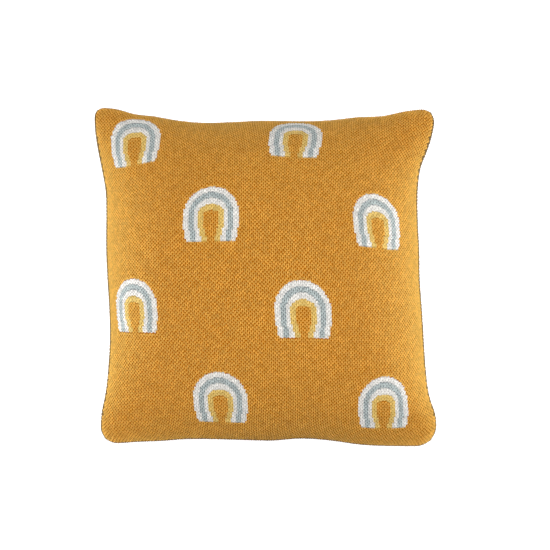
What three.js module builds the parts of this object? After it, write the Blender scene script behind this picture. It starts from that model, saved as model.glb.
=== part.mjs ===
// A square knitted cushion, about 40 by 40 cm, lying on its back.
// Two knitted panels are sewn together along a plain knife edge and filled, so the front stands up in a crown,
// the sides are drawn in between the corners, and the back is pressed flat where the cushion rests.
// Millimetres, +Z up. +Y runs to the top of the cushion, and the origin is under its middle.

import * as THREE from "three";

// Driving dimensions
const FRONT_CROWN = 80; // height of the front above the seam, at the middle
const BACK_CROWN = 54; // depth of the back below the seam, where it rests
const SEAM_EDGE = 4; // thickness of the sewn edge, all round
const CROWN_PLAN = 2.8; // how square the crown is in plan
const CROWN_EDGE = 0.6; // how steeply the panels leave the seam: 0.5 is a round edge, 1 a straight wedge
const REST_SHARE = 0.88; // the back is pressed flat where its crown would pass this share of its depth
const REST_TURN = 1.7; // how quickly the back turns up from that flat
const LIFT_REACH = 1.5; // how closely a corner's lift keeps to the corner
const COLUMNS = 52; // steps across a panel
const EDGE_CROWDING = 0.6; // how far those steps crowd towards the seam, 0 to 1

const YARN_COLOUR = 0xcb8b32;
const YARN_ROUGHNESS = 0.92;

// The four corners of the sewn outline: where its sides would meet, the radius that rounds the corner off,
// and how far the thin corner curls up, or hangs down, from the level of the seam.
const CORNERS = {
  topLeft: { x: -199, y: 200, radius: 12, lift: 6 },
  topRight: { x: 199, y: 198.5, radius: 18, lift: 9 },
  bottomRight: { x: 197, y: -195.3, radius: 25, lift: -4 },
  bottomLeft: { x: -188, y: -193.2, radius: 22, lift: 3 },
};

// How far the filling draws each side in from the line between its corners, in millimetres.
// The stations are shares of a side: left to right along top and bottom, top to bottom along left and right.
const DRAWN_IN = [
  { at: 0.0, top: 0, bottom: 0, left: 0, right: 0 },
  { at: 0.06, top: 0.8, bottom: 1.5, left: 0, right: 2 },
  { at: 0.12, top: 6.8, bottom: 3.2, left: 2.6, right: 8.3 },
  { at: 0.18, top: 9.4, bottom: 4.1, left: 6.7, right: 17.3 },
  { at: 0.25, top: 14.2, bottom: 6.3, left: 11.1, right: 20.5 },
  { at: 0.33, top: 16.4, bottom: 6.6, left: 11.3, right: 20.5 },
  { at: 0.42, top: 14.7, bottom: 5.9, left: 10.5, right: 18.9 },
  { at: 0.51, top: 13.2, bottom: 5.3, left: 11.3, right: 18.4 },
  { at: 0.6, top: 14, bottom: 7.9, left: 12.9, right: 16 },
  { at: 0.69, top: 13.1, bottom: 5.6, left: 13.1, right: 14.1 },
  { at: 0.77, top: 9.7, bottom: 1.4, left: 11, right: 12.1 },
  { at: 0.85, top: 8.3, bottom: 0, left: 7.2, right: 8.2 },
  { at: 0.91, top: 3.3, bottom: 0, left: 2.3, right: 0.9 },
  { at: 1.0, top: 0, bottom: 0, left: 0, right: 0 },
];

// Soft unevenness of the filling: where it swells or dips, how wide, and how high.
const LUMPS = [
  { name: "full lower half", x: 10, y: -85, reach: 105, rise: 4 },
  { name: "full bottom right corner", x: 135, y: -140, reach: 48, rise: 4 },
  { name: "slack top right", x: 150, y: 118, reach: 46, rise: -4 },
  { name: "slack top left", x: -138, y: 150, reach: 42, rise: -3 },
  { name: "swell by the left side", x: -125, y: 35, reach: 50, rise: 2.5 },
  { name: "dip by the bottom left", x: -120, y: -135, reach: 44, rise: -2.5 },
  { name: "dip above the middle", x: 55, y: 95, reach: 60, rise: -2 },
];

const SEAM_HEIGHT = BACK_CROWN + SEAM_EDGE / 2;

const corner = (name) => new THREE.Vector2(CORNERS[name].x, CORNERS[name].y);

// One side of the outline, as a function of the share of its length.
function makeSide(column, from, to) {
  const start = corner(from);
  const end = corner(to);
  const along = end.clone().sub(start);
  const length = along.length();
  along.normalize();
  const inward = new THREE.Vector2(-along.y, along.x);
  if (inward.dot(start.clone().add(end)) > 0) inward.negate();
  const depth = new THREE.CubicInterpolant(
    DRAWN_IN.map((row) => row.at),
    DRAWN_IN.map((row) => row[column]),
    1,
  );
  // the corner's arc, as the depth it takes off the side at a distance from the corner
  const rounding = (radius, distance) => {
    const short = Math.max(radius - distance, 0);
    return radius - Math.sqrt(radius ** 2 - short ** 2);
  };
  // a side runs from the middle of one corner's arc to the middle of the next
  const arcMiddle = (name) => CORNERS[name].radius * (1 - Math.SQRT1_2);
  return (share) => {
    const distance = THREE.MathUtils.lerp(arcMiddle(from), length - arcMiddle(to), share);
    const drawn = depth.evaluate(distance / length)[0];
    const rounded = rounding(CORNERS[from].radius, distance) + rounding(CORNERS[to].radius, length - distance);
    return start.clone().addScaledVector(along, distance).addScaledVector(inward, drawn + rounded);
  };
}

const SIDES = {
  top: makeSide("top", "topLeft", "topRight"),
  bottom: makeSide("bottom", "bottomLeft", "bottomRight"),
  left: makeSide("left", "topLeft", "bottomLeft"),
  right: makeSide("right", "topRight", "bottomRight"),
};

const SEWN_CORNERS = {
  topLeft: SIDES.top(0),
  topRight: SIDES.top(1),
  bottomLeft: SIDES.bottom(0),
  bottomRight: SIDES.bottom(1),
};

// Where a panel's point lies in plan: u from left to right, v from top to bottom, both 0 to 1.
// The straight-sided panel between the corners is bent to the sewn sides, less and less towards the middle.
function planPoint(u, v) {
  const straight = (a, b, share) => a.clone().lerp(b, share);
  const straightTop = straight(SEWN_CORNERS.topLeft, SEWN_CORNERS.topRight, u);
  const straightBottom = straight(SEWN_CORNERS.bottomLeft, SEWN_CORNERS.bottomRight, u);
  const straightLeft = straight(SEWN_CORNERS.topLeft, SEWN_CORNERS.bottomLeft, v);
  const straightRight = straight(SEWN_CORNERS.topRight, SEWN_CORNERS.bottomRight, v);
  return straight(straightTop, straightBottom, v)
    .addScaledVector(SIDES.top(u).sub(straightTop), (1 - v) ** 2)
    .addScaledVector(SIDES.bottom(u).sub(straightBottom), v ** 2)
    .addScaledVector(SIDES.left(v).sub(straightLeft), (1 - u) ** 2)
    .addScaledVector(SIDES.right(v).sub(straightRight), u ** 2);
}

// The crown's share of its full height: 0 on the seam, 1 in the middle.
function crownShare(u, v) {
  const across = 1 - Math.abs(2 * u - 1) ** CROWN_PLAN;
  const down = 1 - Math.abs(2 * v - 1) ** CROWN_PLAN;
  return Math.max(across * down, 0) ** CROWN_EDGE;
}

// How far the corners carry a point up or down. Where the back rests, they don't.
function cornerLift(u, v) {
  const slack = 1 - Math.min(crownShare(u, v) / REST_SHARE, 1);
  const near = (share) => Math.max(2 * share - 1, 0) ** LIFT_REACH;
  const atTop = CORNERS.topLeft.lift * near(1 - u) + CORNERS.topRight.lift * near(u);
  const atBottom = CORNERS.bottomLeft.lift * near(1 - u) + CORNERS.bottomRight.lift * near(u);
  return slack * (atTop * near(1 - v) + atBottom * near(v));
}

function lumpHeight(plan) {
  let height = 0;
  for (const lump of LUMPS) {
    const distance = Math.hypot(plan.x - lump.x, plan.y - lump.y) / lump.reach;
    height += lump.rise * Math.exp(-(distance ** 2));
  }
  return height;
}

function frontHeight(u, v, plan) {
  const share = crownShare(u, v);
  return SEAM_HEIGHT + SEAM_EDGE / 2 + cornerLift(u, v) + share * (FRONT_CROWN + lumpHeight(plan));
}

function backHeight(u, v) {
  const share = Math.min(crownShare(u, v) / REST_SHARE, 1);
  return cornerLift(u, v) + BACK_CROWN * (1 - share) ** REST_TURN;
}

// Steps across a panel, closer together by the seam, where the panel turns fastest.
function stepShare(step) {
  const even = step / COLUMNS;
  const crowded = (1 - Math.cos(Math.PI * even)) / 2;
  return THREE.MathUtils.lerp(even, crowded, EDGE_CROWDING);
}

// The filled cover: front panel, back panel and the sewn edge that joins them.
function makeCushion() {
  const row = COLUMNS + 1;
  const positions = [];
  for (const isFront of [true, false]) {
    for (let j = 0; j < row; j += 1) {
      for (let i = 0; i < row; i += 1) {
        const u = stepShare(i);
        const v = stepShare(j);
        const plan = planPoint(u, v);
        positions.push(plan.x, plan.y, isFront ? frontHeight(u, v, plan) : backHeight(u, v));
      }
    }
  }
  const front = (i, j) => j * row + i;
  const back = (i, j) => row * row + front(i, j);
  const triangles = [];
  const addFace = (a, b, c, d) => triangles.push(a, b, c, a, c, d);

  // each cell is split along the line that points to the nearest corner of the cushion
  for (let j = 0; j < COLUMNS; j += 1) {
    for (let i = 0; i < COLUMNS; i += 1) {
      const ring = [
        [i, j],
        [i, j + 1],
        [i + 1, j + 1],
        [i + 1, j],
      ];
      const turned = i < COLUMNS / 2 === j < COLUMNS / 2 ? ring : [...ring.slice(1), ring[0]];
      addFace(...turned.map(([a, b]) => front(a, b)));
      addFace(...turned.map(([a, b]) => back(a, b)).reverse());
    }
  }

  // the sewn edge, side by side
  for (let k = 0; k < COLUMNS; k += 1) {
    const edges = [
      [[k + 1, 0], [k, 0]],
      [[k, COLUMNS], [k + 1, COLUMNS]],
      [[0, k], [0, k + 1]],
      [[COLUMNS, k + 1], [COLUMNS, k]],
    ];
    for (const [from, to] of edges) {
      addFace(front(...to), front(...from), back(...from), back(...to));
    }
  }

  const geometry = new THREE.BufferGeometry();
  geometry.setAttribute("position", new THREE.Float32BufferAttribute(positions, 3));
  geometry.setIndex(triangles);

  // the origin goes under the middle of the cushion's box
  geometry.computeBoundingBox();
  const middle = geometry.boundingBox.getCenter(new THREE.Vector3());
  geometry.translate(-middle.x, -middle.y, 0);
  geometry.computeVertexNormals();
  return geometry;
}

const yarn = new THREE.MeshStandardMaterial({ color: YARN_COLOUR, roughness: YARN_ROUGHNESS, metalness: 0 });
const cushion = new THREE.Mesh(makeCushion(), yarn);
cushion.name = "cushion";

const part = new THREE.Group();
part.add(cushion);

export default part;
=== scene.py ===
"""A knitted cushion: two stockinette panels over a filled core, sewn together along a knife edge."""

import math

import bmesh
import bpy
import numpy as np
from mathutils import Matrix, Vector
from mathutils.bvhtree import BVHTree


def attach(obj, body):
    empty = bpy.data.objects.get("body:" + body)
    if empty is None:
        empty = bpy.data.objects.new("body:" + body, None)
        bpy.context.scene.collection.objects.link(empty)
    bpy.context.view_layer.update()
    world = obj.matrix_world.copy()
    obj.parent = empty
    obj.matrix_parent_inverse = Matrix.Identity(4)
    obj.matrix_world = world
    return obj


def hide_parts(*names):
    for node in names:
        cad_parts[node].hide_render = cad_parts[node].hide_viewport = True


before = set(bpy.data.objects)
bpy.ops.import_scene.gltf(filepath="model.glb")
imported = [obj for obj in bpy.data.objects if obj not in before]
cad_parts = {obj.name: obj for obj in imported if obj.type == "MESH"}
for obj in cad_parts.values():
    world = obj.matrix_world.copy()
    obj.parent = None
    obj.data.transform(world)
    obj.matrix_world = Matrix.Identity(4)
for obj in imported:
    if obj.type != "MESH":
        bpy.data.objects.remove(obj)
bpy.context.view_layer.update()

# The knit: columns and rows of stitches in a panel. A stitch is twice as tall as it is wide,
# and every other column is half a stitch lower than its neighbours.
COLUMNS = 200
ROWS = 98
RIM_STITCHES = 740  # round the sewn edge
FRONT_BANDS = 3  # the mustard knit is made in bands of rows, which keeps each piece light
BACK_BANDS = 2

# Seeds of the stitches' unevenness: the first band of each panel, and the rim
FRONT_SEED = 11
BACK_SEED = 31
RIM_SEED = 51
SWELL_SEED_STEP = 7.0  # from the seed of a stitch's lean to the seed of its swell

# A stitch: two legs of yarn that start close together at its foot and part upwards.
# Across is in columns from the stitch's middle, and up in rows from its foot.
LEG_FOOT = (0.12, -0.02)
LEG_TIP = (0.52, 1.0)
YARN_HALF_WIDTH = 0.22
YARN_SIDES = 3
FINE_RINGS = (0.26, 0.74)  # where a leg stands out of the cloth, as shares of its length
PLAIN_RINGS = (0.5,)  # the same on the back

# The yarn, in metres
STITCH_STAND = 0.0011  # how far the stitches stand out of the core
UNEVENNESS = 0.1  # how much more or less than that, as a share, and how far they lean, in radians
CORE_DEPTH = STITCH_STAND * (1 + UNEVENNESS)  # how far the core lies under the cushion's surface
STITCH_SINK = 0.0005  # how deep a stitch's ends go into the core
YARN_HALF_DEPTH = 0.0006  # half of the yarn's thickness, square to the cloth

# The motif: a banded arch, from the middle of the line where its curve springs from its legs.
# Across it is counted in columns, and up in half rows, which are about as long.
# Each band reaches as far as its half width and its rise, and holds the next.
# Tuck is how far its legs have leant inwards at their feet.
ARCH_BANDS = [
    {"yarn": "white", "half_width": 15, "rise": 15, "tuck": 1.8},
    {"yarn": "grey_blue", "half_width": 12, "rise": 12, "tuck": 1.6},
    {"yarn": "white", "half_width": 9, "rise": 9, "tuck": 1.4},
    {"yarn": "pale_yellow", "half_width": 7, "rise": 5.5, "tuck": 2.4},
    {"yarn": "mustard", "half_width": 4, "rise": 2, "tuck": 2.2},
]
ARCH_LEG = 14.5  # how far the legs go below the spring line
ARCH_TUCK_FROM = 5.5  # how far below it they start to lean inwards
MOTIF_EASE = 0.65  # how far the stitches at a change of yarn give way to the motif's line
CHANGE_HALVINGS = 6  # how closely the place of that change is found

# Where the motifs stand: every other place of a grid, turn about.
# Columns are counted from the left of the panel, and the spring lines in half rows from its top.
MOTIF_COLUMNS = (27, 73, 119, 165)
MOTIF_SPRINGS = (21, 69.4, 117.8, 166.2)
MOTIFS = [
    (middle, spring)
    for row, spring in enumerate(MOTIF_SPRINGS)
    for middle in MOTIF_COLUMNS[row % 2 :: 2]
]

# Along the left and right sides the outer column of stitches, and a second column in rows off the corners,
# take the seam's darkened colour: painted shade where the seam draws them in.
SEAM_START = 8  # from here it draws in every other stitch of that column
SEAM_TURN = 22  # and from here all of them

# Linear colours of the yarns. The darker one of each is painted shade, where a stitch dips into the cloth.
YARNS = {
    "mustard": {"slot": "mustard_yarn", "colour": (0.83, 0.482, 0.078), "painted_shade": (0.36, 0.114, 0.004)},
    "white": {"slot": "white_yarn", "colour": (0.95, 0.93, 0.90), "painted_shade": (0.51, 0.495, 0.47)},
    "grey_blue": {"slot": "grey_blue_yarn", "colour": (0.60, 0.665, 0.66), "painted_shade": (0.21, 0.235, 0.24)},
    "pale_yellow": {"slot": "pale_yellow_yarn", "colour": (0.88, 0.67, 0.225), "painted_shade": (0.47, 0.31, 0.08)},
    # the seam's yarn is the mustard yarn, darkened all over: painted shade along the sewn edge
    "seam": {"slot": "mustard_yarn", "colour": (0.22, 0.125, 0.028), "painted_shade": (0.08, 0.042, 0.007)},
}
CHART_YARNS = tuple(YARNS)

# How the yarn takes the light. The crest ease also sets how soon a strand leaves the painted shade of its
# dip.
DIP_ROUGHNESS = 1.0
CREST_ROUGHNESS = 0.6
CREST_EASE = 0.15  # how slowly a strand rises from its dip: near 0 is at once
YARN_GLOSS = 0.85
YARN_SHEEN = 0.15
SHEEN_ROUGHNESS = 0.5

# The colour's unevenness: from stitch to stitch, and in soft clouds over the cloth
SHADE_LEAST = 0.82
STITCH_SHADE = 0.26
CLOUD_SHADE = 0.1
CLOUD = {"Scale": 60.0, "Detail": 2.0}

# The relief of the strand: its twist, and the fibres
TWIST_ALONG = 4.0  # turns along a leg
TWIST_PLIES = 2.0  # ridges round the strand
TWIST_HEIGHT = 0.5
FIBRE = {"Scale": 2500.0, "Detail": 1.0}
RELIEF = {"Strength": 0.4, "Distance": 0.0002}

# How the panels lie on the frame's cushion
MERGE_DISTANCE = 1e-5  # points of the frame closer than this are one, in metres
MERGE_DIGITS = 5  # the same, as digits of a place
UPRIGHT = 1e-3  # the sewn edge's faces stand upright within this
END_CROWDING = 0.35  # how far the stitches are first crowded towards the seam, 0 to 1
EVENING_PASSES = 14  # how often they are then evened out along their rows and columns
CROWN_RISE = 1.03  # the front's height above the seam, as a share of the frame's
CROWN_EASE = 1.15  # how much more evenly it rises there: 1 is as in the frame
WRAP_MARGIN = 0.0004  # the knit keeps this share of a panel off its border, where the layout ends

# Where the front has slipped on its filling: the place as shares of the panel from its top left,
# how far round it the slip reaches, and how far the cloth has gone to the right and down, in metres.
SLIPS = [
    {"across": 0.07, "down": 0.18, "reach": 0.15, "right": 0.0, "lower": 0.0070},
    {"across": 0.60, "down": 0.60, "reach": 0.17, "right": 0.0012, "lower": 0.0040},
    {"across": 0.86, "down": 0.83, "reach": 0.16, "right": -0.0022, "lower": 0.0018},
    {"across": 0.87, "down": 0.37, "reach": 0.14, "right": -0.0016, "lower": 0.0013},
    {"across": 0.13, "down": 0.58, "reach": 0.16, "right": -0.0036, "lower": -0.0013},
    {"across": 0.60, "down": 0.19, "reach": 0.09, "right": 0.0, "lower": 0.0028},
]
SLIP_EDGE = 0.06  # near the seam, over this share of the panel, the cloth is held

# The filling: how hard and how long it presses the cover out, and how far it may, in metres
FILL_PRESSURE = 4.0
FILL_FRAMES = 20
FILL_ROW_STEP = 2  # rows and columns of stitches to a step of the simulated cover
FILL_COLUMN_STEP = 4
SWELL_CAP = 0.006
SWELL_SMOOTHING = 2  # passes over the swell
REST_REACH = 2 * CORE_DEPTH  # the back is held where it lies this low

# The studio, in metres and watts. Only a softbox that gleams shows in the yarn's gloss.
FLOOR_HALF = 4.0
FLOOR_COLOUR = (0.95, 0.95, 0.95)
FLOOR_ROUGHNESS = 0.9
FLOOR_GLOW = 0.65
WALL_GLOW = 0.97  # how bright the walls look
WALL_LIGHT = 0.15  # how much light they give
LIT_POINT = (0.0, 0.0, 0.07)
SOFTBOXES = [
    {"name": "left_softbox", "place": (-1.2, 0.0, 0.95), "size": (1.4, 0.7), "power": 8.2},
    {"name": "right_softbox", "place": (1.2, 0.0, 0.95), "size": (1.4, 0.7), "power": 9.2},
    {"name": "left_low_softbox", "place": (-1.4, 0.0, 0.45), "size": (1.4, 0.7), "power": 4.8},
    {"name": "right_low_softbox", "place": (1.4, 0.0, 0.45), "size": (1.4, 0.7), "power": 5.4},
    {"name": "overhead_softbox", "place": (0, -0.25, 2.4), "size": (1.2, 2.0), "power": 58.0, "gleams": True},
]

# The photograph's camera
PHOTO_SIDE = 550  # pixels
SENSOR = 36.0  # millimetres
CAMERA_DISTANCE = 2.6  # metres
CAMERA_TILT = math.radians(9.0)  # from straight above, towards the bottom edge
METRES_A_PIXEL = 0.001155  # at the level of the seam
MIDDLE_PIXEL = (264.2, 275.1)  # where the middle of the cushion shows


# The panels, as nets of points: rows from the top, columns from the left
def read_sewn_edge(node):
    """The four sides of the frame's sewn edge, and the frame's surface.
    Each point of a side has its place, and the heights of the front and the back there."""
    solid = bmesh.new()
    solid.from_mesh(node.data)
    bmesh.ops.remove_doubles(solid, verts=solid.verts, dist=MERGE_DISTANCE)
    solid.normal_update()
    heights = {}
    for face in solid.faces:
        if abs(face.normal.z) < UPRIGHT:
            for vert in face.verts:
                place = (round(vert.co.x, MERGE_DIGITS), round(vert.co.y, MERGE_DIGITS))
                heights.setdefault(place, []).append(vert.co.z)
    edge = np.array([(*place, max(levels), min(levels)) for place, levels in heights.items()])
    edge = edge[np.argsort(np.arctan2(edge[:, 1], edge[:, 0]))]

    def corner(x_sign, y_sign):
        return int(np.argmax(x_sign * edge[:, 0] + y_sign * edge[:, 1]))

    def run(first, last):
        count = (last - first) % len(edge)
        return edge[[(first + k) % len(edge) for k in range(count + 1)]]

    bottom_left = corner(-1, -1)
    bottom_right = corner(1, -1)
    top_right = corner(1, 1)
    top_left = corner(-1, 1)
    sides = {
        "bottom": run(bottom_left, bottom_right),
        "right": run(bottom_right, top_right)[::-1],
        "top": run(top_right, top_left)[::-1],
        "left": run(top_left, bottom_left),
    }
    surface = BVHTree.FromBMesh(solid)
    solid.free()
    return sides, surface


def spaced(line, count):
    """Count + 1 points, evenly spaced along a line of points."""
    steps = np.linalg.norm(np.diff(line, axis=0), axis=1)
    along = np.concatenate([[0.0], np.cumsum(steps)])
    wanted = np.linspace(0.0, along[-1], count + 1)
    return np.stack([np.interp(wanted, along, line[:, k]) for k in range(line.shape[1])], axis=1)


def crowded(count):
    """Count + 1 shares from 0 to 1, somewhat closer together at both ends."""
    even = np.linspace(0.0, 1.0, count + 1)
    return (1 - END_CROWDING) * even + END_CROWDING * (1 - np.cos(np.pi * even)) / 2


def seam_level(net):
    """The height of the seam, carried across a panel from its four sides."""
    height = net[..., 2]
    down = np.linspace(0.0, 1.0, height.shape[0])[:, None]
    across = np.linspace(0.0, 1.0, height.shape[1])[None]

    def blend(left, right):
        return (1 - across) * left + across * right

    corners = (1 - down) * blend(height[0, 0], height[0, -1]) + down * blend(height[-1, 0], height[-1, -1])
    return (1 - down) * height[0] + down * height[-1] + blend(height[:, :1], height[:, -1:]) - corners


def panel_shares(rows, columns):
    """How far each point of a net lies across and down its panel, from 0 to 1."""
    return np.meshgrid(np.linspace(0.0, 1.0, columns), np.linspace(0.0, 1.0, rows))


def read_net(net, across, down):
    """The points of a net at these shares of its width and height."""
    x = np.clip(across, 0, 1) * (net.shape[1] - 1)
    y = np.clip(down, 0, 1) * (net.shape[0] - 1)
    i = np.minimum(x.astype(int), net.shape[1] - 2)
    j = np.minimum(y.astype(int), net.shape[0] - 2)
    right, below = (x - i)[..., None], (y - j)[..., None]
    upper = (1 - right) * net[j, i] + right * net[j, i + 1]
    lower = (1 - right) * net[j + 1, i] + right * net[j + 1, i + 1]
    return (1 - below) * upper + below * lower


def half_rows(net):
    """The net with a line of points half way down each row."""
    return read_net(net, *panel_shares(2 * net.shape[0] - 1, net.shape[1]))


def around(net):
    """The values round the border of a net, clockwise from its top left corner."""
    return np.concatenate([net[0, :-1], net[:-1, -1], net[-1, :0:-1], net[:0:-1, 0]])


def slipped(net):
    """The net as its cloth has slipped on the filling."""
    across, down = panel_shares(*net.shape[:2])
    width = np.linalg.norm(np.diff(net[ROWS // 2], axis=0), axis=1).sum()
    height = np.linalg.norm(np.diff(net[:, COLUMNS // 2], axis=0), axis=1).sum()
    edge = np.minimum.reduce([across, 1 - across, down, 1 - down])
    free = np.minimum(edge / SLIP_EDGE, 1)
    moved_across, moved_down = across.copy(), down.copy()
    for slip in SLIPS:
        distance = np.hypot(across - slip["across"], down - slip["down"]) / slip["reach"]
        share = free * np.exp(-(distance**2))
        moved_across += share * slip["right"] / width
        moved_down += share * slip["lower"] / height
    return read_net(net, moved_across, moved_down)


def lay_net(sides, surface, is_front):
    """The corners of a panel's stitches, on the frame's cushion."""
    keep = [0, 1, 2 if is_front else 3]
    top = spaced(sides["top"][:, keep], COLUMNS)
    bottom = spaced(sides["bottom"][:, keep], COLUMNS)
    left = spaced(sides["left"][:, keep], ROWS)
    right = spaced(sides["right"][:, keep], ROWS)

    # a sheet stretched between the four sides
    across = crowded(COLUMNS)[None, :, None]
    down = crowded(ROWS)[:, None, None]
    straight_top = (1 - across) * top[0] + across * top[-1]
    straight_bottom = (1 - across) * bottom[0] + across * bottom[-1]
    straight = (1 - down) * straight_top + down * straight_bottom
    by_rows = (1 - down) * top[None] + down * bottom[None]
    by_columns = (1 - across) * left[:, None] + across * right[:, None]
    net = by_rows + by_columns - straight

    # laid on the surface, from above or from below
    side = 1.0 if is_front else -1.0
    for j in range(1, ROWS):
        for i in range(1, COLUMNS):
            start = Vector((net[j, i, 0], net[j, i, 1], side))
            hit = surface.ray_cast(start, Vector((0, 0, -side)))[0]
            if hit is None:
                hit = surface.find_nearest(Vector(net[j, i]))[0]
            net[j, i] = hit
    net[0] = top
    net[-1] = bottom
    net[:, 0] = left
    net[:, -1] = right
    if is_front:
        level = seam_level(net)
        rise = np.maximum(net[..., 2] - level, 0)
        net[..., 2] = level + CROWN_RISE * rise.max() * (rise / rise.max()) ** CROWN_EASE

    # evened out, so that a row's stitches are of about one width, and a column's of about one height
    for _ in range(EVENING_PASSES):
        net[1:-1] = np.stack([spaced(line, COLUMNS) for line in net[1:-1]])
        net[:, 1:-1] = np.stack([spaced(line, ROWS) for line in net[:, 1:-1].swapaxes(0, 1)], axis=1)
    return slipped(net) if is_front else net


def net_normals(net, is_front):
    """Outward normals of a net, at its points."""
    across = np.gradient(net, axis=1)
    down = np.gradient(net, axis=0)
    normals = np.cross(down, across)
    normals /= np.linalg.norm(normals, axis=2, keepdims=True)
    return normals if is_front else -normals


def mesh_object(name, points, faces, materials=()):
    """A smooth mesh of these points and faces, as an object in the scene."""
    mesh = bpy.data.meshes.new(name)
    mesh.from_pydata(np.asarray(points).tolist(), [], [list(map(int, face)) for face in faces])
    mesh.shade_smooth()
    for material in materials:
        mesh.materials.append(material)
    piece = bpy.data.objects.new(name, mesh)
    bpy.context.scene.collection.objects.link(piece)
    return piece


def grid_faces(rows, columns):
    """Quads of a grid of (rows + 1) x (columns + 1) points.
    They face up where the rows run down and the columns to the right."""
    index = np.arange((rows + 1) * (columns + 1)).reshape(rows + 1, columns + 1)
    corners = (index[1:, :-1], index[1:, 1:], index[:-1, 1:], index[:-1, :-1])
    return np.stack([corner.ravel() for corner in corners], axis=1)


def closed_shell(front, back):
    """Points and faces of a filled cover: front panel, back panel and the sewn edge between them."""
    rows, columns = front.shape[:2]
    points = np.concatenate([front.reshape(-1, 3), back.reshape(-1, 3)])
    behind = rows * columns
    panel = grid_faces(rows - 1, columns - 1)
    ring = around(np.arange(behind).reshape(rows, columns))
    after = np.roll(ring, -1)
    edge = np.stack([ring, after, after + behind, ring + behind], axis=1)
    return points, np.concatenate([panel, panel[:, ::-1] + behind, edge])


# The chart of the front panel
def arch_yarn(across, up):
    """The yarn of a motif's stitch, or None outside the motif."""
    if not -ARCH_LEG <= up <= ARCH_BANDS[0]["rise"]:
        return None
    leant = max(-up - ARCH_TUCK_FROM, 0) / (ARCH_LEG - ARCH_TUCK_FROM)
    yarn = None
    for band in ARCH_BANDS:
        reach = (abs(across) + leant * band["tuck"]) / band["half_width"]
        if math.hypot(reach, max(up, 0) / band["rise"]) <= 1:
            yarn = band["yarn"]
    return yarn


def yarn_at(across, down):
    """The yarn at a place on the front panel: columns from its left, and half rows from its top."""
    for middle, spring in MOTIFS:
        yarn = arch_yarn(across - middle, spring - down)
        if yarn:
            return yarn
    return "mustard"


def yarn_change(across, above, below):
    """The level, between these two, where the yarn of a column changes."""
    first = yarn_at(across, above)
    for _ in range(CHANGE_HALVINGS):
        level = (above + below) / 2
        if yarn_at(across, level) == first:
            above = level
        else:
            below = level
    return level


def draw_seam(chart):
    """Chart the seam's painted shade at both sides of a panel: those stitches take the seam's darkened
    colour. The chart's cells are one row or half a row tall.
    """
    row = np.arange(len(chart)) * ROWS // len(chart)
    from_corner = np.minimum(row, ROWS - 1 - row)
    is_drawn_in = (from_corner >= SEAM_TURN) | ((from_corner >= SEAM_START) & (from_corner % 2 == 0))
    chart[:, [0, -1]] = "seam"
    chart[np.ix_(is_drawn_in, [1, -2])] = "seam"


def plain_edges():
    """The levels between the stitches of each column, in half rows from the top of a panel."""
    return 2.0 * np.arange(ROWS + 1)[:, None] + np.arange(COLUMNS) % 2


def knit_chart():
    """The yarn of each stitch of the front panel, by row and column, and the levels between the stitches.
    Where the yarn changes, one stitch stretches and the next gives way, so the motif's line is smooth."""
    chart = np.empty((ROWS, COLUMNS), dtype=object)
    edges = plain_edges()
    for column in range(COLUMNS):
        across = column + 0.5
        for row in range(ROWS):
            level = edges[row, column]
            chart[row, column] = yarn_at(across, level + 1)
            if row > 0 and chart[row, column] != chart[row - 1, column]:
                edges[row, column] += MOTIF_EASE * (yarn_change(across, level - 1, level + 1) - level)
    draw_seam(chart)
    return chart, edges


def core_chart():
    """The yarn over each cell of the front core, by half row and column."""
    chart = np.empty((2 * ROWS, COLUMNS), dtype=object)
    for half_row, column in np.ndindex(chart.shape):
        chart[half_row, column] = yarn_at(column + 0.5, half_row + 0.5)
    draw_seam(chart)
    return chart


def stitch_feet(cells, edges):
    """The feet of the stitches in these cells, in columns and rows from the bottom left of the panel,
    and how tall the stitches are, in rows."""
    rows, columns = np.nonzero(cells)
    top, foot = edges[rows, columns], edges[rows + 1, columns]
    return np.stack([columns + 0.5, ROWS - foot / 2, np.zeros(len(rows))], axis=1), (foot - top) / 2


# The knit stitch
def stitch_mesh(name, rings):
    """One stitch: two slanted legs, each a closed spindle, with its ends in the core.
    Across is in columns from the stitch's middle, up is in rows from its foot, and depth is in metres."""
    points, faces, along_around = [], [], []

    def add_point(leg, along, turn, is_ring):
        across = leg * (LEG_FOOT[0] + along * (LEG_TIP[0] - LEG_FOOT[0]))
        up = LEG_FOOT[1] + along * (LEG_TIP[1] - LEG_FOOT[1])
        depth = -STITCH_SINK
        if is_ring:
            angle = 2 * math.pi * turn + math.pi / 2
            across += YARN_HALF_WIDTH * math.cos(angle)
            depth = STITCH_STAND - YARN_HALF_DEPTH * (1 - math.sin(angle))
        points.append((across, up, depth))
        along_around.append((along, turn))

    for leg in (-1, 1):
        first = len(points)
        add_point(leg, 0.0, 0.0, False)
        for along in rings:
            for k in range(YARN_SIDES):
                add_point(leg, along, k / YARN_SIDES, True)
        add_point(leg, 1.0, 0.0, False)
        last = len(points) - 1

        def ring(r, k):
            return first + 1 + r * YARN_SIDES + k % YARN_SIDES

        for k in range(YARN_SIDES):
            faces.append((first, ring(0, k + 1), ring(0, k)))
            for r in range(len(rings) - 1):
                faces.append((ring(r, k), ring(r, k + 1), ring(r + 1, k + 1), ring(r + 1, k)))
            faces.append((last, ring(len(rings) - 1, k), ring(len(rings) - 1, k + 1)))
    stitch = mesh_object(name, points, faces)
    layer = stitch.data.uv_layers.new(name="yarn")
    for loop in stitch.data.loops:
        layer.data[loop.index].uv = along_around[loop.vertex_index]
    turned = bmesh.new()
    turned.from_mesh(stitch.data)
    bmesh.ops.recalc_face_normals(turned, faces=turned.faces)
    turned.to_mesh(stitch.data)
    turned.free()
    return stitch


def add_node(tree, kind, inputs=(), **settings):
    """A new node with these settings, and with these values or links on its inputs."""
    made = tree.nodes.new(kind)
    for key, value in settings.items():
        setattr(made, key, value)
    for key, value in dict(inputs).items():
        if isinstance(value, bpy.types.NodeSocket):
            tree.links.new(value, made.inputs[key])
        else:
            made.inputs[key].default_value = value
    return made


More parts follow.
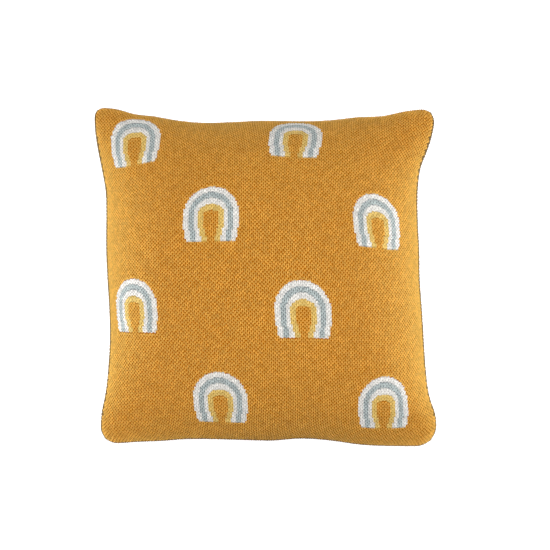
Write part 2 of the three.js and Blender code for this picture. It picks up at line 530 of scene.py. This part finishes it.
def knitting_nodes():
    """A tree that sets a stitch on each point of a flat chart, then wraps the knit round a panel."""
    tree = bpy.data.node_groups.new("knitting", "GeometryNodeTree")
    sockets = tree.interface
    sockets.new_socket("Geometry", in_out="OUTPUT", socket_type="NodeSocketGeometry")
    for label, kind in (
        ("Chart", "NodeSocketGeometry"),
        ("Stitch", "NodeSocketObject"),
        ("Panel", "NodeSocketObject"),
        ("Columns", "NodeSocketFloat"),
        ("Rows", "NodeSocketFloat"),
        ("Unevenness", "NodeSocketFloat"),
        ("Seed", "NodeSocketInt"),
        ("Yarn", "NodeSocketMaterial"),
    ):
        sockets.new_socket(label, in_out="INPUT", socket_type=kind)
    given = tree.nodes.new("NodeGroupInput").outputs

    def node(kind, inputs=(), **settings):
        return add_node(tree, kind, inputs, **settings)

    stitch = node("GeometryNodeObjectInfo", {"Object": given["Stitch"]}).outputs["Geometry"]
    panel = node("GeometryNodeObjectInfo", {"Object": given["Panel"]}).outputs["Geometry"]

    # each stitch leans and swells a little, and is as tall as its chart says
    low = node("ShaderNodeMath", {0: given["Unevenness"], 1: -1.0}, operation="MULTIPLY").outputs[0]

    def uneven(seed):
        limits = {2: low, 3: given["Unevenness"], "Seed": seed}
        return node("FunctionNodeRandomValue", limits, data_type="FLOAT").outputs[1]

    turn = node("ShaderNodeCombineXYZ", {"Z": uneven(given["Seed"])}).outputs[0]
    other_seed = node("ShaderNodeMath", {0: given["Seed"], 1: SWELL_SEED_STEP}, operation="ADD").outputs[0]
    size = node("ShaderNodeMath", {0: uneven(other_seed), 1: 1.0}, operation="ADD").outputs[0]
    tall = node("GeometryNodeInputNamedAttribute", {"Name": "tall"}, data_type="FLOAT").outputs[0]
    height = node("ShaderNodeMath", {0: size, 1: tall}, operation="MULTIPLY").outputs[0]
    scale = node("ShaderNodeCombineXYZ", {"X": size, "Y": height, "Z": size}).outputs[0]
    placed = node(
        "GeometryNodeInstanceOnPoints",
        {"Points": given["Chart"], "Instance": stitch, "Rotation": turn, "Scale": scale},
    ).outputs[0]
    tint = node("FunctionNodeRandomValue", {"Seed": given["Seed"]}, data_type="FLOAT").outputs[1]
    tinted = node(
        "GeometryNodeStoreNamedAttribute",
        {"Geometry": placed, "Name": "tint", "Value": tint},
        data_type="FLOAT",
        domain="INSTANCE",
    ).outputs[0]
    flat = node("GeometryNodeRealizeInstances", {"Geometry": tinted}).outputs[0]

    # where each point lies on the panel, as shares of its columns and rows, kept as a UV map
    place = node("ShaderNodeSeparateXYZ", {0: node("GeometryNodeInputPosition").outputs[0]}).outputs
    shares = []
    for axis, count in (("X", given["Columns"]), ("Y", given["Rows"])):
        share = node("ShaderNodeMath", {0: place[axis], 1: count}, operation="DIVIDE").outputs[0]
        limits = {"Value": share, "Min": WRAP_MARGIN, "Max": 1.0 - WRAP_MARGIN}
        shares.append(node("ShaderNodeClamp", limits).outputs[0])
    share = node("ShaderNodeCombineXYZ", {"X": shares[0], "Y": shares[1]}).outputs[0]
    mapped = node(
        "GeometryNodeStoreNamedAttribute",
        {"Geometry": flat, "Name": "OFBake", "Value": share},
        data_type="FLOAT2",
        domain="CORNER",
    ).outputs[0]

    def named_vector(name):
        return node("GeometryNodeInputNamedAttribute", {"Name": name}, data_type="FLOAT_VECTOR").outputs[0]

    def from_panel(value):
        return node(
            "GeometryNodeSampleUVSurface",
            {"Mesh": panel, "Value": value, "UV Map": named_vector("panel"), "Sample UV": share},
            data_type="FLOAT_VECTOR",
        ).outputs[0]

    ground = from_panel(node("GeometryNodeInputPosition").outputs[0])
    outward = from_panel(named_vector("outward"))
    raised = node("ShaderNodeVectorMath", {0: outward, "Scale": place["Z"]}, operation="SCALE").outputs[0]
    wrapped_place = node("ShaderNodeVectorMath", {0: ground, 1: raised}, operation="ADD").outputs[0]
    wrapped = node("GeometryNodeSetPosition", {"Geometry": mapped, "Position": wrapped_place}).outputs[0]
    dyed = node("GeometryNodeSetMaterial", {"Geometry": wrapped, "Material": given["Yarn"]}).outputs[0]
    tree.links.new(dyed, tree.nodes.new("NodeGroupOutput").inputs[0])
    return tree


KNITTING = knitting_nodes()


def panel_object(name, net, normals):
    """A panel that the knit is wrapped round, with its layout as a UV map and its outward normals."""
    rows, columns = net.shape[0] - 1, net.shape[1] - 1
    panel = mesh_object(name, net.reshape(-1, 3), grid_faces(rows, columns))
    mesh = panel.data
    row, column = np.divmod(np.arange(len(mesh.vertices)), columns + 1)
    layout = np.stack([column / columns, 1 - row / rows], axis=1)
    corners = np.empty(len(mesh.loops), dtype=np.int32)
    mesh.loops.foreach_get("vertex_index", corners)
    mesh.uv_layers.new(name="panel").data.foreach_set("uv", layout[corners].ravel())
    outward = mesh.attributes.new("outward", "FLOAT_VECTOR", "POINT")
    outward.data.foreach_set("vector", normals.reshape(-1))
    return panel


def knit(name, feet, tall, stitch, panel, columns, rows, yarn, seed):
    """Knit a piece, as a plain mesh: a stitch on each of these feet, this tall, round the panel."""
    flat = mesh_object(name + "_chart", feet, np.empty((0, 3), dtype=int))
    flat.data.attributes.new("tall", "FLOAT", "POINT").data.foreach_set("value", tall)
    modifier = flat.modifiers.new("knitting", "NODES")
    modifier.node_group = KNITTING
    values = {
        "Stitch": stitch,
        "Panel": panel,
        "Columns": float(columns),
        "Rows": float(rows),
        "Unevenness": UNEVENNESS,
        "Seed": seed,
        "Yarn": MATERIALS[yarn],
    }
    for socket in KNITTING.interface.items_tree:
        if socket.in_out == "INPUT" and socket.name in values:
            modifier[socket.identifier] = values[socket.name]
    bpy.context.view_layer.update()
    evaluated = flat.evaluated_get(bpy.context.evaluated_depsgraph_get())
    mesh = bpy.data.meshes.new_from_object(evaluated)
    mesh.name = name
    mesh.shade_smooth()
    piece = bpy.data.objects.new(name, mesh)
    bpy.context.scene.collection.objects.link(piece)
    bpy.data.objects.remove(flat)
    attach(piece, "root")


# Yarn materials
def strand_group():
    """Colour, roughness and relief of a strand of yarn.
    Its colour goes over to a painted shade, and it is rougher, where it dips into the cloth; it is also
    uneven from stitch to stitch."""
    tree = bpy.data.node_groups.new("yarn_strand", "ShaderNodeTree")
    for label in ("Yarn", "Painted Shade"):
        tree.interface.new_socket(label, in_out="INPUT", socket_type="NodeSocketColor")
    for label, kind in (
        ("Colour", "NodeSocketColor"),
        ("Roughness", "NodeSocketFloat"),
        ("Height", "NodeSocketFloat"),
    ):
        tree.interface.new_socket(label, in_out="OUTPUT", socket_type=kind)
    given = tree.nodes.new("NodeGroupInput").outputs

    def math_node(operation, a, b=0.0):
        return add_node(tree, "ShaderNodeMath", {0: a, 1: b}, operation=operation).outputs[0]

    def noise(size):
        return add_node(tree, "ShaderNodeTexNoise", {"Vector": place, **size}).outputs[0]

    layout = add_node(tree, "ShaderNodeUVMap", uv_map="yarn").outputs[0]
    along, turn, _ = add_node(tree, "ShaderNodeSeparateXYZ", {0: layout}).outputs
    # painted shade: towards both ends of a leg, where it dips, the colour goes over to the yarn's painted
    # shade; the roughness follows the same mask
    swell = math_node("POWER", math_node("SINE", math_node("MULTIPLY", along, math.pi)), CREST_EASE)
    painted_shade_mix = {"Factor": swell, "A": given["Painted Shade"], "B": given["Yarn"]}
    dip_shaded = add_node(tree, "ShaderNodeMix", painted_shade_mix, data_type="RGBA").outputs["Result"]
    roughness = math_node(
        "SUBTRACT", DIP_ROUGHNESS, math_node("MULTIPLY", swell, DIP_ROUGHNESS - CREST_ROUGHNESS)
    )

    tint = add_node(tree, "ShaderNodeAttribute", attribute_name="tint").outputs["Fac"]
    place = add_node(tree, "ShaderNodeTexCoord").outputs["Object"]
    uneven = math_node(
        "ADD", math_node("MULTIPLY", tint, STITCH_SHADE), math_node("MULTIPLY", noise(CLOUD), CLOUD_SHADE)
    )
    shade = {0: dip_shaded, "Scale": math_node("ADD", uneven, SHADE_LEAST)}
    shaded = add_node(tree, "ShaderNodeVectorMath", shade, operation="SCALE").outputs[0]

    turns = math_node(
        "ADD", math_node("MULTIPLY", along, TWIST_ALONG), math_node("MULTIPLY", turn, TWIST_PLIES)
    )
    twist = math_node("SINE", math_node("MULTIPLY", turns, 2 * math.pi))
    relief = math_node("ADD", math_node("MULTIPLY", twist, TWIST_HEIGHT), noise(FIBRE))

    out = tree.nodes.new("NodeGroupOutput")
    tree.links.new(shaded, out.inputs["Colour"])
    tree.links.new(roughness, out.inputs["Roughness"])
    tree.links.new(relief, out.inputs["Height"])
    return tree


STRAND = strand_group()


def yarn_material(name, colour, painted_shade, is_core=False):
    """A dyed yarn, which goes over to its painted shade where it dips into the cloth. The core shows only
    between the stitches, dull and all in the painted shade colour.
    """
    material = bpy.data.materials.new(name)
    material.use_nodes = True
    tree = material.node_tree
    strand = add_node(tree, "ShaderNodeGroup", node_tree=STRAND)
    strand.inputs["Yarn"].default_value = (*colour, 1)
    strand.inputs["Painted Shade"].default_value = (*painted_shade, 1)
    relief = add_node(tree, "ShaderNodeBump", {"Height": strand.outputs["Height"], **RELIEF})
    shader = tree.nodes["Principled BSDF"]
    tree.links.new(strand.outputs["Colour"], shader.inputs["Base Color"])
    tree.links.new(relief.outputs[0], shader.inputs["Normal"])
    if is_core:
        shader.inputs["Roughness"].default_value = DIP_ROUGHNESS
        shader.inputs["Specular IOR Level"].default_value = 0.0
    else:
        tree.links.new(strand.outputs["Roughness"], shader.inputs["Roughness"])
        shader.inputs["Specular IOR Level"].default_value = YARN_GLOSS
    shader.inputs["Sheen Weight"].default_value = YARN_SHEEN
    shader.inputs["Sheen Roughness"].default_value = SHEEN_ROUGHNESS
    shader.inputs["Sheen Tint"].default_value = (*colour, 1)
    return material


MATERIALS = {}
CORE_MATERIALS = []
for name, yarn in YARNS.items():
    MATERIALS[name] = yarn_material(name + "_yarn", yarn["colour"], yarn["painted_shade"])
    # the core's materials take the painted shade colour for the yarn and its dip alike
    CORE_MATERIALS.append(yarn_material(name + "_core", yarn["painted_shade"], yarn["painted_shade"], is_core=True))


# The filling
def filled(front, back):
    """Both panels as the filling presses them out, between the seam and the place where they rest."""
    coarse = [net[::FILL_ROW_STEP, ::FILL_COLUMN_STEP] for net in (front, back)]
    points, faces = closed_shell(*coarse)
    cover = mesh_object("cover", points, faces)
    is_held = np.ones((2, *coarse[0].shape[:2]), dtype=bool)
    is_held[0, 1:-1, 1:-1] = False
    is_held[1, 1:-1, 1:-1] = coarse[1][1:-1, 1:-1, 2] < REST_REACH
    cover.vertex_groups.new(name="held").add(np.nonzero(is_held.ravel())[0].tolist(), 1.0, "REPLACE")
    cloth = cover.modifiers.new("filling", "CLOTH")
    cloth.settings.vertex_group_mass = "held"
    cloth.settings.use_pressure = True
    cloth.settings.uniform_pressure_force = FILL_PRESSURE
    cloth.settings.effector_weights.gravity = 0
    cloth.point_cache.frame_end = FILL_FRAMES
    scene = bpy.context.scene
    for number in range(1, FILL_FRAMES + 1):
        scene.frame_set(number)
    evaluated = cover.evaluated_get(bpy.context.evaluated_depsgraph_get())
    moved = np.empty(points.size)
    evaluated.data.vertices.foreach_get("co", moved)
    moves = moved.reshape(-1, 3) - points
    scene.frame_set(1)
    bpy.data.objects.remove(cover)

    # no point goes further than the cap, and the swell is smoothed before it goes back to the full nets
    lengths = np.linalg.norm(moves, axis=1, keepdims=True)
    moves *= SWELL_CAP / np.maximum(lengths, SWELL_CAP)
    swollen = []
    for net, part in zip((front, back), moves.reshape(2, *coarse[0].shape)):
        for _ in range(SWELL_SMOOTHING):
            part[1:-1, 1:-1] = (part[:-2, 1:-1] + part[2:, 1:-1] + part[1:-1, :-2] + part[1:-1, 2:]) / 4
        swollen.append(net + read_net(part, *panel_shares(*net.shape[:2])))
    swollen[1][..., 2] = np.maximum(swollen[1][..., 2], back[..., 2].min())
    return swollen


# Both panels, laid on the frame's cushion and pressed out by the filling
sides, surface = read_sewn_edge(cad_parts["cushion"])
front_net = lay_net(sides, surface, True)
back_net = lay_net(sides, surface, False)
front_out = net_normals(front_net, True)
back_out = net_normals(back_net, False)
front_core = front_net - CORE_DEPTH * front_out
back_core = back_net - CORE_DEPTH * back_out
front_core, back_core = filled(front_core, back_core)
front_out = net_normals(front_core, True)
back_out = net_normals(back_core, False)

# The core under the stitches, in the painted shade colours of the chart's yarns: it shows only as shade
# between the stitches
points, faces = closed_shell(half_rows(front_core), half_rows(back_core))
core = mesh_object("cushion_core", points, faces, CORE_MATERIALS)
over_core = core_chart()
yarn_slots = np.zeros(len(faces), dtype=np.int32)
yarn_slots[: over_core.size] = [CHART_YARNS.index(yarn) for yarn in over_core.ravel()]
core.data.polygons.foreach_set("material_index", yarn_slots)
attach(core, "root")
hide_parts("cushion")

# The knit of both panels. In the lowered columns there is no room for a stitch in the last row.
fine_stitch = stitch_mesh("fine_stitch", FINE_RINGS)
plain_stitch = stitch_mesh("plain_stitch", PLAIN_RINGS)
front_panel = panel_object("front_panel", front_core, front_out)
back_panel = panel_object("back_panel", back_core[:, ::-1], back_out[:, ::-1])
chart, front_edges = knit_chart()
row_number, column_number = np.indices((ROWS, COLUMNS))
has_stitch = (column_number % 2 == 0) | (row_number < ROWS - 1)
for name in CHART_YARNS:
    bands = FRONT_BANDS if name == "mustard" else 1
    for band in range(bands):
        cells = has_stitch & (chart == name) & (row_number * bands // ROWS == band)
        feet, tall = stitch_feet(cells, front_edges)
        piece_name = f"front_knit_{name}_{band + 1}"
        knit(piece_name, feet, tall, fine_stitch, front_panel, COLUMNS, ROWS, name, FRONT_SEED + band)
for band in range(BACK_BANDS):
    cells = has_stitch & (row_number * BACK_BANDS // ROWS == band)
    feet, tall = stitch_feet(cells, plain_edges())
    piece_name = f"back_knit_{band + 1}"
    knit(piece_name, feet, tall, plain_stitch, back_panel, COLUMNS, ROWS, "mustard", BACK_SEED + band)

# The sewn edge: one course of stitches round the rim, across the edge, in the seam's darkened colour, which
# is painted shade
rim_loop = around(np.concatenate([front_core, back_core], axis=2))
rim_line = spaced(np.concatenate([rim_loop, rim_loop[:1]])[::-1], RIM_STITCHES)
rim_net = np.stack([rim_line[:, :3], rim_line[:, 3:]])
rim_along = np.gradient(rim_net, axis=1)
rim_out = np.cross(np.broadcast_to(rim_net[1] - rim_net[0], rim_net.shape), rim_along)
rim_out /= np.linalg.norm(rim_out, axis=2, keepdims=True)
rim_panel = panel_object("rim_panel", rim_net, rim_out)
feet = np.zeros((RIM_STITCHES, 3))
feet[:, 0] = np.arange(RIM_STITCHES) + 0.5
tall = np.ones(RIM_STITCHES)
knit("seam", feet, tall, fine_stitch, rim_panel, RIM_STITCHES, 1, "seam", RIM_SEED)
for helper in (fine_stitch, plain_stitch, front_panel, back_panel, rim_panel):
    bpy.data.objects.remove(helper)


# Floor, light and camera
def floor_material():
    """A pale floor that glows, so that the cushion's shadow on it stays faint."""
    material = bpy.data.materials.new("floor_white")
    material.use_nodes = True
    shader = material.node_tree.nodes["Principled BSDF"]
    shader.inputs["Base Color"].default_value = (*FLOOR_COLOUR, 1)
    shader.inputs["Roughness"].default_value = FLOOR_ROUGHNESS
    shader.inputs["Emission Color"].default_value = (*FLOOR_COLOUR, 1)
    shader.inputs["Emission Strength"].default_value = FLOOR_GLOW
    return material


floor_corners = [(x * FLOOR_HALF, y * FLOOR_HALF, 0) for x, y in ((-1, -1), (1, -1), (1, 1), (-1, 1))]
floor = mesh_object("floor", floor_corners, [(0, 1, 2, 3)], [floor_material()])
floor.visible_diffuse = False


def add_softbox(name, place, size, power, gleams=False):
    """A softbox that faces the cushion."""
    data = bpy.data.lights.new(name, "AREA")
    data.shape = "RECTANGLE"
    data.size, data.size_y = size
    data.energy = power
    light = bpy.data.objects.new(name, data)
    light.location = place
    light.rotation_euler = (Vector(LIT_POINT) - Vector(place)).to_track_quat("-Z", "Y").to_euler()
    light.visible_glossy = gleams
    bpy.context.scene.collection.objects.link(light)


for softbox in SOFTBOXES:
    add_softbox(**softbox)

# the studio's walls: pale behind the floor, and dim as a light
world = bpy.data.worlds.new("studio")
world.use_nodes = True
is_seen = add_node(world.node_tree, "ShaderNodeLightPath").outputs["Is Camera Ray"]
levels = {0: is_seen, 1: WALL_GLOW - WALL_LIGHT, 2: WALL_LIGHT}
strength = add_node(world.node_tree, "ShaderNodeMath", levels, operation="MULTIPLY_ADD").outputs[0]
walls = world.node_tree.nodes["Background"]
walls.inputs["Color"].default_value = (1, 1, 1, 1)
world.node_tree.links.new(strength, walls.inputs["Strength"])
bpy.context.scene.world = world
world.cycles_visibility.glossy = False
bpy.context.scene.view_settings.view_transform = "Standard"

# the camera aims at the level of the seam, where the middle of the photograph falls
camera_data = bpy.data.cameras.new("camera")
camera_data.sensor_width = SENSOR
camera_data.lens = CAMERA_DISTANCE / METRES_A_PIXEL * SENSOR / PHOTO_SIDE
camera = bpy.data.objects.new("camera", camera_data)
bpy.context.scene.collection.objects.link(camera)
aim_x = (PHOTO_SIDE / 2 - MIDDLE_PIXEL[0]) * METRES_A_PIXEL
aim_y = (MIDDLE_PIXEL[1] - PHOTO_SIDE / 2) * METRES_A_PIXEL / math.cos(CAMERA_TILT)
seam_height = float(sides["top"][:, 2:].mean())
view_from = Vector((0, -math.sin(CAMERA_TILT), math.cos(CAMERA_TILT)))
camera.location = Vector((aim_x, aim_y, seam_height)) + CAMERA_DISTANCE * view_from
camera.rotation_euler = (CAMERA_TILT, 0, 0)
bpy.context.scene.camera = camera
